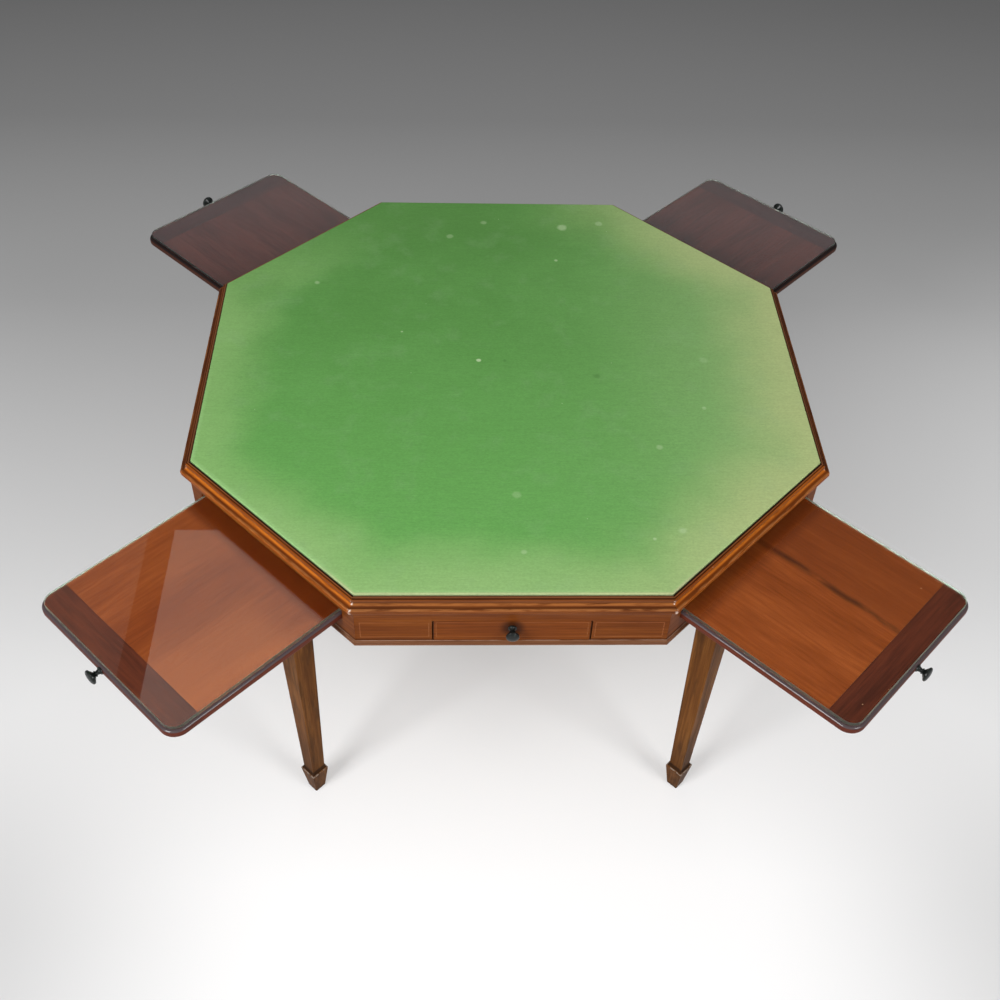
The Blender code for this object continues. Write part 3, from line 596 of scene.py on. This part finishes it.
def glass_finish(name, ground, roughness):
    """Plate glass with a green body: clear through its thickness, ground along its edges.

    The ground edges have a colour and a roughness of their own; the back panes' are near black, as painted
    shade.
    """
    finish, tree, shader = new_finish(name, Transmission_Weight=1.0, IOR=1.52)
    place, _ = field(tree, "place")
    away = past_corner(tree, place, SLIDE_HALF - GLASS_INSET, SLIDE_OUTER - GLASS_INSET, GLASS_CORNER)
    edge = (away, GLASS_CORNER - 0.6 * MM, GLASS_CORNER - 0.3 * MM)
    feed(shader, Base_Color=layers(tree, "#fbfffc", (ground, 1.0, edge)),
         Roughness=add(tree, "MapRange", *edge, 0.0, roughness))
    clear = add(tree, "BsdfTransparent", "#f0f5f1")
    shadow = add(tree, "LightPath", out="Is Shadow Ray")
    mixed = add(tree, "MixShader", shadow, shader.outputs[0], clear)
    body = add(tree, "VolumeAbsorption", "#7fe09a", 14.0)
    feed(tree.nodes["Material Output"], Surface=mixed, Volume=body)
    return finish


def knob_finish():
    """Ebonised beech: black polish, worn to brown-grey in patches."""
    finish, tree, shader = new_finish("ebonised_beech", Roughness=0.38, Coat_Weight=0.2, Coat_Roughness=0.12,
                                      Specular_IOR_Level=0.12)
    where, _ = field(tree, "grain")
    worn = patches(tree, where, (0.012, 0.004, 0.004))
    figure = patches(tree, where, (0.02, 0.001, 0.001))
    feed(shader, Base_Color=layers(tree, "#151817", ("#343b38", 0.5, (worn, 0.50, 0.72))),
         Normal=add(tree, "Bump", 0.2, 0.1 * MM, None, figure))
    return finish


# Pieces

def make_baize(finish):
    """The stretched cloth: rings of the octagon shrinking to the middle, and a rounded edge turned down.

    Inside the edge, ring r is r times the ring 12 mm in. Over the edge the cloth follows a quarter
    circle of radius 1.2 mm and then runs straight down into the groove.
    """
    steps, rings = 28, 44   # points along a side, and rings of the flat cloth
    inner, turn = 12 * MM, 1.2 * MM
    shares = np.arange(steps) / steps
    flat = octagon_ring(-inner, shares) * np.linspace(0.0, 1.0, rings)[:, None, None]
    profile = np.vstack([[(-8 * MM, CLOTH_HIGH[2]), (-4 * MM, CLOTH_HIGH[2])],
                         arc((-turn, CLOTH_HIGH[2] - turn), turn, 90, 0, 5), [(0.0, CLOTH_LOW[2])]])
    plan = np.concatenate([flat, [octagon_ring(offset, shares) for offset in profile[:, 0]]])
    height = np.concatenate([np.full(rings, CLOTH_HIGH[2]), profile[:, 1]])[:, None]
    inset = np.minimum(CLOTH_HALF - np.abs(plan).max(axis=-1),
                       CORNER_APOTHEM - np.abs(plan).sum(axis=-1) / ROOT)
    trim = xyz(inset, inset, height).reshape(-1, 3)
    cloth = make_piece("baize_cloth", xyz(plan[..., 0], plan[..., 1], height),
                       [grid_faces(*plan.shape[:2], wrap=True)], extra={"trim": trim}, sharp=80)
    thick = cloth.modifiers.new("cloth", "SOLIDIFY")
    thick.thickness = CLOTH_THICK
    thick.offset = -1.0
    dress(cloth, finish, "baize")


def lipping_section():
    """Rebate, groove, flat band, quirk, round shoulder, hollow and nose, as one closed outline."""
    nose = LIPPING_REACH - NOSE
    nose_low = TOP_UNDERSIDE + NOSE
    nose_high = nose_low + NOSE_FACE
    shoulder_z = QUIRK_Z - BEAD
    hollow_z = shoulder_z - BEAD_DROP
    hollow = (nose - QUIRK_END - BEAD, hollow_z - nose_high - NOSE)
    band_z = BAND_Z - BAND_FALL
    return np.vstack([
        [(-REBATE, TOP_UNDERSIDE), (-REBATE, CLOTH_LOW[2] - JOINT), (GROOVE, CLOTH_LOW[2] - JOINT)],
        arc((GROOVE + SOFT, BAND_Z - SOFT), SOFT, 180, 90, 3),
        arc((BAND_END - SOFT, band_z - SOFT), SOFT, 90, 0, 3),
        [(BAND_END, QUIRK_Z)],
        arc((QUIRK_END, shoulder_z), BEAD, 90, 0, 8),
        arc((nose, hollow_z), hollow, 180, 270, 14),
        arc((nose, nose_high), NOSE, 90, 0, 8)[1:],
        arc((nose, nose_low), NOSE, 0, -90, 8),
    ])


def make_lippings(front, straight, corner):
    """Eight mitred lengths of lipping, the front one with the most worn mitres."""
    section = lipping_section()
    for side, name in enumerate(SIDES):
        points, trim = carried(section, side, np.linspace(-1, 1, 9))
        made = make_piece("lipping_moulding_" + name, points, closed_faces(*points.shape[:2]), side=side,
                          extra={"trim": trim})
        finish = front if side == 0 else straight if side in STRAIGHT else corner
        dress(made, finish, "lipping_" + name)


def apron_piece(name, side, half, low, high):
    """An apron board with a rectangular opening, its cove worked on it.

    The outline is carried from mitre to mitre with stops at the opening's ends. Between those the
    two edges of the outline that cross the opening are left out, and four reveals join its rims.
    """
    apothem, side_half = side_sizes(side)
    lip = APRON_HIGH[2] - COVE_HEIGHT
    cove = arc((COVE_REACH, lip), (COVE_REACH - APRON_FACE, COVE_HEIGHT - JOINT), 180, 90, 12)
    section = np.vstack([[(APRON_BACK, APRON_LOW[2]), (APRON_FACE, APRON_LOW[2]), (APRON_FACE, low),
                          (APRON_FACE, high)], cove,
                         [(COVE_REACH, APRON_HIGH[2]), (APRON_BACK, APRON_HIGH[2]), (APRON_BACK, high),
                          (APRON_BACK, low)]])
    offset, height = section.T
    count = len(section)
    reach = side_half - JOINT / 2 + offset * MITRE
    x = np.stack([-reach, np.full(count, -half), np.full(count, half), reach])
    around, ends = closed_faces(4, count)
    # The outline's points at the opening: front low, front high, back high and back low.
    first, second = (stop * count + np.array([2, 3, count - 2, count - 1]) for stop in (1, 2))
    crossing = np.isin(around[:, 0], [first[0], first[2]])
    reveals = np.array([[first[0], second[0], second[3], first[3]],
                        [first[1], second[1], second[2], first[2]], first, second])
    return make_piece(name, xyz(x, -(apothem + offset), height), [around[~crossing], reveals, ends],
                      side=side)


def make_aprons():
    """Eight apron boards: the straight ones open for a drawer, the others for a slide."""
    opening = DRAWER_HIGH[0] + DRAWER_END
    inner = opening + PANEL_GAP
    outer = STRAIGHT_HALF + APRON_FACE * MITRE - PANEL_INSET
    strung = apron_finish("apron", ((inner + outer) / 2, (outer - inner) / 2))
    bare = apron_finish("corner_apron")
    for side, name in enumerate(SIDES):
        if side in STRAIGHT:
            finish, hole = strung, (opening, DRAWER_LOW[2] - JOINT, DRAWER_HIGH[2] + JOINT)
        else:
            board_low, board_high = span("slide_board_" + name, side)
            _, glass_high = span("slide_glass_" + name, side)
            finish, hole = bare, (board_high[0] + SHOULDER, board_low[2] - RUN, glass_high[2] + SHOULDER)
        dress(apron_piece("apron_board_" + name, side, *hole), finish, "apron_" + name)


def make_base(finish):
    """The base moulding: a flat foot and a hollow, carried round the octagon."""
    back = APRON_FACE + JOINT
    top = BASE_HIGH[2]
    hollow = arc((BASE_REACH, top - JOINT),
                 (BASE_REACH - back - JOINT, top - BASE_LOW[2] - BASE_FOOT - JOINT), 270, 180, 10)
    section = np.vstack([[(back, BASE_LOW[2])], arc((BASE_REACH - SOFT, BASE_LOW[2] + SOFT), SOFT, -90, 0, 3),
                         [(BASE_REACH, BASE_LOW[2] + BASE_FOOT)], hollow[1:],
                         [(back + JOINT, top), (back, top)]])
    plan = np.stack([octagon_ring(offset, np.array([0.0])) for offset in section[:, 0]], axis=1)
    plan = np.concatenate([plan, plan[:1]])   # back to the start, where make_piece joins the ends
    made = make_piece("base_moulding_ring", xyz(plan[..., 0], plan[..., 1], section[:, 1]),
                      [grid_faces(*plan.shape[:2], wrap=True)])
    dress(made, finish, "base_moulding")


def make_legs(finish):
    """Square tapered legs with spade feet.

    Each row of points is a square of half width h(z) with corners of radius r; the half width falls
    in a straight line to the ankle, swells in a hollow curve to the foot's arris and tapers again.
    """
    shoulder_z = APRON_LOW[2] - JOINT
    sweep = arc((FOOT_WIDE / 2, FOOT_SHOULDER_Z),
                ((FOOT_WIDE - LEG_ANKLE) / 2, FOOT_SHOULDER_Z - FOOT_ARRIS_Z), 180, 262, 7)
    arris = arc((FOOT_WIDE / 2 - 0.6 * MM, FOOT_ARRIS_Z - 0.6 * MM), 0.6 * MM, 80, -5, 3)
    taper = np.linspace((LEG_TOP, shoulder_z), (LEG_ANKLE, FOOT_SHOULDER_Z), 13)[1:] * (0.5, 1.0)
    profile = np.vstack([
        [(LEG_TOP / 2 - 1.0 * MM, shoulder_z), (LEG_TOP / 2, shoulder_z - 0.4 * MM)],
        taper, sweep[1:], arris,
        [(FOOT_TIP / 2 + 0.35 * MM, 1.4 * MM), (FOOT_TIP / 2 - 0.6 * MM, 0.0)],
    ])
    half, height = profile.T[..., None]
    radius = np.minimum(LEG_SOFT, half / 4)
    quarter = np.arange(4)[:, None] * math.pi / 2
    bend = np.radians(np.linspace(0, 90, 5))
    angle = (quarter + bend).ravel()
    pivot = np.repeat(quarter + math.pi / 4, len(bend))
    x, y = ((half - radius) * ROOT * part(pivot) + radius * part(angle) for part in (np.cos, np.sin))
    inset = half - np.minimum(np.abs(x), np.abs(y))
    face = xyz(inset, inset, height).reshape(-1, 3)
    for side in CORNER:
        made = make_piece("leg_square_" + SIDES[side], xyz(x, y + LEG_CENTRE_Y, height),
                          closed_faces(*x.shape), side=side, grain=2, extra={"face": face}, sharp=30)
        dress(made, finish, "leg_" + SIDES[side])


def knob_profile(diameter, waisted):
    """Half outline of a knob as (radius, distance from the seat): domed cap, cone, ring and spreading foot.

    Without a waist the cone runs down onto the widest part of the ring.
    """
    cap, waist, rose = diameter / 2, 3.1 * MM, 6.0 * MM
    face, dome, under = 19.5 * MM, 3.0 * MM, 14.0 * MM
    lip = 1.2 * MM
    ring_reach, ring_at, ring_half = 1.5 * MM, 8.0 * MM, 1.2 * MM
    foot = 1.5 * MM
    return np.vstack([
        arc((0.0, face - dome), (cap, dome), 90, 4, 14),
        arc((cap - lip, under + lip), lip, 0, -90, 6),
        arc((waist, ring_at), (ring_reach, ring_half), 90 if waisted else 0, -90, 8),
        arc((rose, ring_at - ring_half), (rose - waist, ring_at - ring_half - foot), 180, 270, 8)[1:],
        [(rose, JOINT), (0.0, JOINT)],
    ])


def make_knob(side, node, seat_y, finish, body):
    """A turned knob: its half outline spun about the line x = 0, z = its height."""
    low, high = span(node, side)
    profile = knob_profile(high[0] - low[0], waisted=body.startswith("slide"))
    radius, depth = profile.T[..., None]
    angle = np.linspace(0, 2 * math.pi, 41)[:-1]
    points = xyz(radius * np.cos(angle), seat_y - depth, radius * np.sin(angle) + (low[2] + high[2]) / 2)
    made = make_piece(node.replace("knob", "pull"), points, [grid_faces(*points.shape[:2], wrap=True)],
                      side=side, grain=1, sharp=50)
    dress(made, finish, node, body)


def end_board(name, side, half, inner, outer, radius, low, high, soft, grain):
    """A board with two round corners at its outer end, its upper and lower arrises rounded all along.

    The face is a grid of rows across, whose half width is half - r + r cos a where the corner turns.
    The rim goes round its edge, pushed out along the edge's normal by a rounded profile. "soft" holds
    the radius of the upper arris, by which the grid is set in, and that of the lower one.
    """
    plain, bends, columns = 6, 12, 9   # rows of even width, steps round a corner, points across
    above, under = soft
    turn = np.radians(np.linspace(0, 90, bends + 1))
    inset, bend = half - above, radius - above
    width = np.concatenate([np.full(plain, inset), inset - bend + bend * np.cos(turn)])
    reach = np.concatenate([np.linspace(inner, outer - radius, plain + 1)[:-1],
                            outer - radius + bend * np.sin(turn)])
    normal = np.concatenate([np.zeros(plain), turn])
    share = np.linspace(1, -1, columns)
    rows = len(width)
    caps = [xyz(width[:, None] * share, -reach[:, None], level) for level in (high, low)]
    edge_x = np.concatenate([width, (width[-1] * share)[1:-1], -width[::-1]])[:, None]
    edge_y = np.concatenate([reach, np.full(columns - 2, reach[-1]), reach[::-1]])[:, None]
    away = np.concatenate([normal, np.full(columns - 2, math.pi / 2), math.pi - normal[::-1]])[:, None]
    profile = np.vstack([arc((0.0, high - above), above, 90, 0, 8),
                         arc((above - under, low + under), under, 0, -90, 6), [(0.0, low)]])
    out, height = profile.T
    rim = xyz(edge_x + np.cos(away) * out, -(edge_y + np.sin(away) * out), height)
    points = np.concatenate([block.reshape(-1, 3) for block in (*caps, rim)])
    face = grid_faces(rows, columns)
    size, (stations, steps) = rows * columns, rim.shape[:2]
    start = 2 * size + np.arange(steps)
    end = start + (stations - 1) * steps
    inner_end = np.concatenate([np.arange(columns), end[1:-1], size + np.arange(columns)[::-1],
                                start[1:-1][::-1]])
    blocks = [face, face + size, grid_faces(stations, steps) + 2 * size, inner_end[None]]
    return make_piece(name, points, blocks, side=side, grain=grain)


def plain_board(name, side, low, high, soft, grain):
    """A board between two square ends: a section with rounded arrises carried outwards."""
    above, under = soft
    half = high[0]
    section = np.vstack([arc((half - above, high[2] - above), above, 0, 90, 8),
                         arc((-half + above, high[2] - above), above, 90, 180, 8),
                         arc((-half + under, low[2] + under), under, 180, 270, 6),
                         arc((half - under, low[2] + under), under, 270, 360, 6)])
    points = xyz(section[:, 0], np.array([[high[1]], [low[1]]]), section[:, 1])
    return make_piece(name, points, closed_faces(*points.shape[:2]), side=side, grain=grain)


def make_slide(side, field_finish, clamp_finish, glass, knob):
    """One slide: long board, cross-grained clamp, glass and knob."""
    name = SIDES[side]
    body = "slide_" + name
    board_low, board_high = span("slide_board_" + name, side)
    clamp_low, _ = span("slide_clamp_" + name, side)
    glass_low, glass_high = span("slide_glass_" + name, side)
    soft = (SLIDE_ROUND, SLIDE_UNDER)
    board = plain_board("slide_field_" + name, side, board_low, board_high, soft, grain=1)
    dress(board, field_finish, "slide_board_" + name, body=body)
    clamp = end_board("slide_end_" + name, side, board_high[0], -board_low[1] + CLAMP_LINE, -clamp_low[1],
                      SLIDE_CORNER, board_low[2], board_high[2], soft, grain=0)
    dress(clamp, clamp_finish, "slide_clamp_" + name, body=body)
    pane = end_board("slide_pane_" + name, side, glass_high[0], -glass_high[1], -glass_low[1],
                     GLASS_CORNER, glass_low[2], glass_high[2], (GLASS_SOFT, GLASS_SOFT), grain=0)
    dress(pane, glass, "slide_glass_" + name, body)
    make_knob(side, "slide_knob_" + name, clamp_low[1], knob, body)


def make_drawer(side, finish, knob):
    """One drawer front with softened edges, and its knob."""
    name = SIDES[side]
    body = "drawer_" + name
    low, high = span("drawer_front_" + name, side)
    made = plain_board("drawer_face_" + name, side, low, high, (DRAWER_SOFT, DRAWER_SOFT), grain=0)
    dress(made, finish, "drawer_front_" + name, body=body)
    make_knob(side, "drawer_knob_" + name, low[1], knob, body)


def paint_inner_pieces():
    """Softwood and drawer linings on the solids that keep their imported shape.

    The grain of a slide frame or drawer lining runs outwards, so it is turned with its side.
    """
    finishes = {}
    for name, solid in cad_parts.items():
        lined = name.startswith("drawer_box")
        if not lined and not name.startswith(("playing_panel", "dust_board", "slide_frame", "slide_stop")):
            continue
        sides = [side for side, word in enumerate(SIDES) if name.endswith("_" + word)]
        turn = 90 - 45 * sides[-1] if sides else 0
        key = (lined, turn % 180)
        if key not in finishes:
            kind, tones = (("drawer_lining", ("#8a6238", "#ab8150", "#c29b6a")) if lined else
                           ("unpolished_deal", ("#7d5a37", "#9c774c", "#b08c60")))
            finishes[key] = plain_wood("%s_%d" % (kind, turn % 180), tones, math.radians(turn % 180))
        solid.data.materials.clear()
        solid.data.materials.append(finishes[key])


# Studio

CAMERA_PLACE = (-0.0840, -1.5410, 2.0437)
CAMERA_PITCH, CAMERA_YAW, CAMERA_ROLL = 46.48, -3.19, 2.43   # degrees, worked out from the photograph
CAMERA_FOCUS = 1230.6         # focal length in pixels of a frame 1000 pixels wide


def make_camera():
    """The camera at the photograph's viewpoint: rolled, pitched down and turned by the fitted angles."""
    lens = bpy.data.cameras.new("camera")
    lens.sensor_width = 36.0
    lens.lens = CAMERA_FOCUS * lens.sensor_width / 1000
    camera = bpy.data.objects.new("camera", lens)
    placed = Matrix.Translation(CAMERA_PLACE)
    for angle, axis in ((CAMERA_YAW, "Z"), (90 - CAMERA_PITCH, "X"), (CAMERA_ROLL, "Z")):
        placed = placed @ Matrix.Rotation(math.radians(angle), 4, axis)
    camera.matrix_world = placed
    bpy.context.scene.collection.objects.link(camera)
    bpy.context.scene.camera = camera


def make_floor():
    """A pale sweep that darkens away from the viewer and towards its front corners.

    Part of what the camera sees of it is its own plain colour, so that the table's shadows stay soft.
    """
    size = 40.0
    mesh = bpy.data.meshes.new("floor")
    corners = [(-size, -size, 0), (size, -size, 0), (size, size, 0), (-size, size, 0)]
    mesh.from_pydata(corners, [], [(0, 1, 2, 3)])
    floor = bpy.data.objects.new("floor", mesh)
    bpy.context.scene.collection.objects.link(floor)
    finish, tree, shader = new_finish("studio_floor", Roughness=0.9, Specular_IOR_Level=0.1)
    x, y, _ = add(tree, "SeparateXYZ", add(tree, "TexCoord", out="Object")).node.outputs
    tone = add(tree, "ValToRGB", add(tree, "MapRange", y, -1.0, 3.6), stops=[
        (0.00, "#fcfcfc"), (0.10, "#fbfbfb"), (0.14, "#f3f3f3"), (0.20, "#e6e6e6"), (0.317, "#d0d0d0"),
        (0.465, "#ababab"), (0.672, "#858585"), (0.852, "#737373"), (1.00, "#686868")])
    # The white layer is painted light, which lifts the right of the floor; the two grey ones are painted
    # shade in its front corners.
    tone = layers(tree, tone, ("#ffffff", 0.30, (x, 0.5, 1.2), (y, 1.6, 0.5)),
                  ("#c0c0c0", 0.80, (x, -0.30, -1.0), (y, 0.0, -0.65)),
                  ("#cccccc", 0.80, (x, 0.40, 1.0), (y, 0.0, -0.65)))
    feed(shader, Base_Color=tone)
    rays = add(tree, "LightPath").node.outputs
    seen = add(tree, "Math", rays["Is Camera Ray"], rays["Is Glossy Ray"], operation="MAXIMUM")
    seen = add(tree, "Math", seen, rays["Is Transmission Ray"], operation="MAXIMUM")
    own_light = add(tree, "Math", seen, 0.38, operation="MULTIPLY")
    mixed = add(tree, "MixShader", own_light, shader.outputs[0], add(tree, "Emission", tone, 1.0))
    feed(tree.nodes["Material Output"], Surface=mixed)
    mesh.materials.append(finish)


LAMPS = [
    # name, place, the point it aims at, its width and depth, and its power in watts
    ("lamp_left", (-2.3, -2.5, 2.9), (0.0, 0.0, 0.6), (1.3, 1.3), 122),
    ("lamp_right", (2.3, -2.5, 2.9), (0.0, 0.0, 0.6), (1.3, 1.3), 74),
    ("lamp_back", (0.0, 4.0, 1.7), (0.0, 0.0, 0.4), (2.5, 1.5), 12),
    # The front left pane mirrors these two.
    ("ceiling_panel", (-0.75, 1.2, 3.0), (-0.75, 1.2, 0.0), (0.88, 1.16), 1.9),
    ("ceiling_panel_left", (-1.69, 1.2, 3.0), (-1.69, 1.2, 0.0), (0.80, 1.16), 0.45),
]


def make_lamp(name, place, target, size, power):
    """A soft rectangular lamp aimed at a point; size holds its width and depth."""
    lamp = bpy.data.lights.new(name, "AREA")
    lamp.shape = "RECTANGLE"
    lamp.size, lamp.size_y = size
    lamp.energy = power
    holder = bpy.data.objects.new(name, lamp)
    holder.location = place
    holder.rotation_euler = (Vector(target) - Vector(place)).to_track_quat("-Z", "Y").to_euler()
    holder.visible_camera = False
    bpy.context.scene.collection.objects.link(holder)


def make_world():
    """A studio that is bright in front of the table, grey behind it and dark above its back.

    The camera itself sees it in the floor's far colours, so that the floor has no edge.
    """
    world = bpy.data.worlds.new("studio")
    bpy.context.scene.world = world
    world.use_nodes = True
    tree = world.node_tree
    x, y, z = add(tree, "SeparateXYZ", add(tree, "TexCoord", out="Generated")).node.outputs
    back = add(tree, "ValToRGB", z, stops=[
        (0.0, "#8c8c8c"), (0.44, "#8c8c90"), (0.54, "#a6a6ac"), (0.58, "#8c8c90"), (0.62, "#383838"),
        (1.0, "#3c3c3c")])
    front = layers(tree, "#dadada", ("#a6a6a6", 1.0, (x, -0.1, 0.7)))
    horizon = layers(tree, "#5c5c5c", ("#a4a4a4", 1.0, (y, 0.03, -0.03)))
    colour = layers(tree, back, (front, 1.0, (y, 0.05, -0.45)),
                    (horizon, add(tree, "LightPath", out="Is Camera Ray")))
    feed(tree.nodes["Background"], Color=colour)


def main():
    """Dress every piece, then set up the studio."""
    make_camera()
    make_baize(baize_finish())
    # The corner lippings face the lamps: their brighter tones, their brighter hollow and their deeper shade
    # by the cloth are painted light and shade.
    brown, lit_golden = ("#4c240d", "#653516", "#7e461e"), ("#632b0b", "#834110", "#a15718")
    make_lippings(lipping_finish("front_lipping", brown, 0.35, "#955b2c", 0.9),
                  lipping_finish("lipping", brown, 0.5, "#955b2c", 0.2),
                  lipping_finish("corner_lipping", lit_golden, 0.95, "#bd6a1f", 0.35))
    make_aprons()
    make_base(base_finish())
    make_legs(leg_finish())
    knob = knob_finish()
    clear = glass_finish("plate_glass", "#e4f7e4", 0.7)
    # near-black ground edges on the back panes: painted shade
    grey = glass_finish("plate_glass_back", "#2c322e", 0.35)
    clamp = slide_finish("clamp", ("#3f180f", "#532116", "#642b1b"))
    marked = slide_finish("slide_marked", ("#742f0e", "#853a17", "#94451f"), 0.032, 0.45)
    board = slide_finish("slide", ("#6f2b11", "#7c3516", "#8b401e"), None, 0.85)
    # The back slides take darker copies of the slide and clamp finishes, with a near-black arris: painted
    # shade.
    shaded = {"shine": 0.15, "side": "#3c1f12", "edge": "#1c1514"}
    dark = slide_finish("slide_shaded", ("#3f1716", "#50201e", "#5e2823"), **shaded)
    dark_clamp = slide_finish("clamp_shaded", ("#311417", "#3d1a1d", "#492020"), **shaded)
    for side, finishes in zip(CORNER, ((marked, clamp, clear), (dark, dark_clamp, grey),
                                       (dark, dark_clamp, grey), (board, clamp, clear))):
        make_slide(side, *finishes, knob)
    face = drawer_finish()
    for side in STRAIGHT:
        make_drawer(side, face, knob)
    paint_inner_pieces()
    make_floor()
    make_world()
    for lamp in LAMPS:
        make_lamp(*lamp)
    bpy.context.scene.view_settings.view_transform = "Standard"


main()
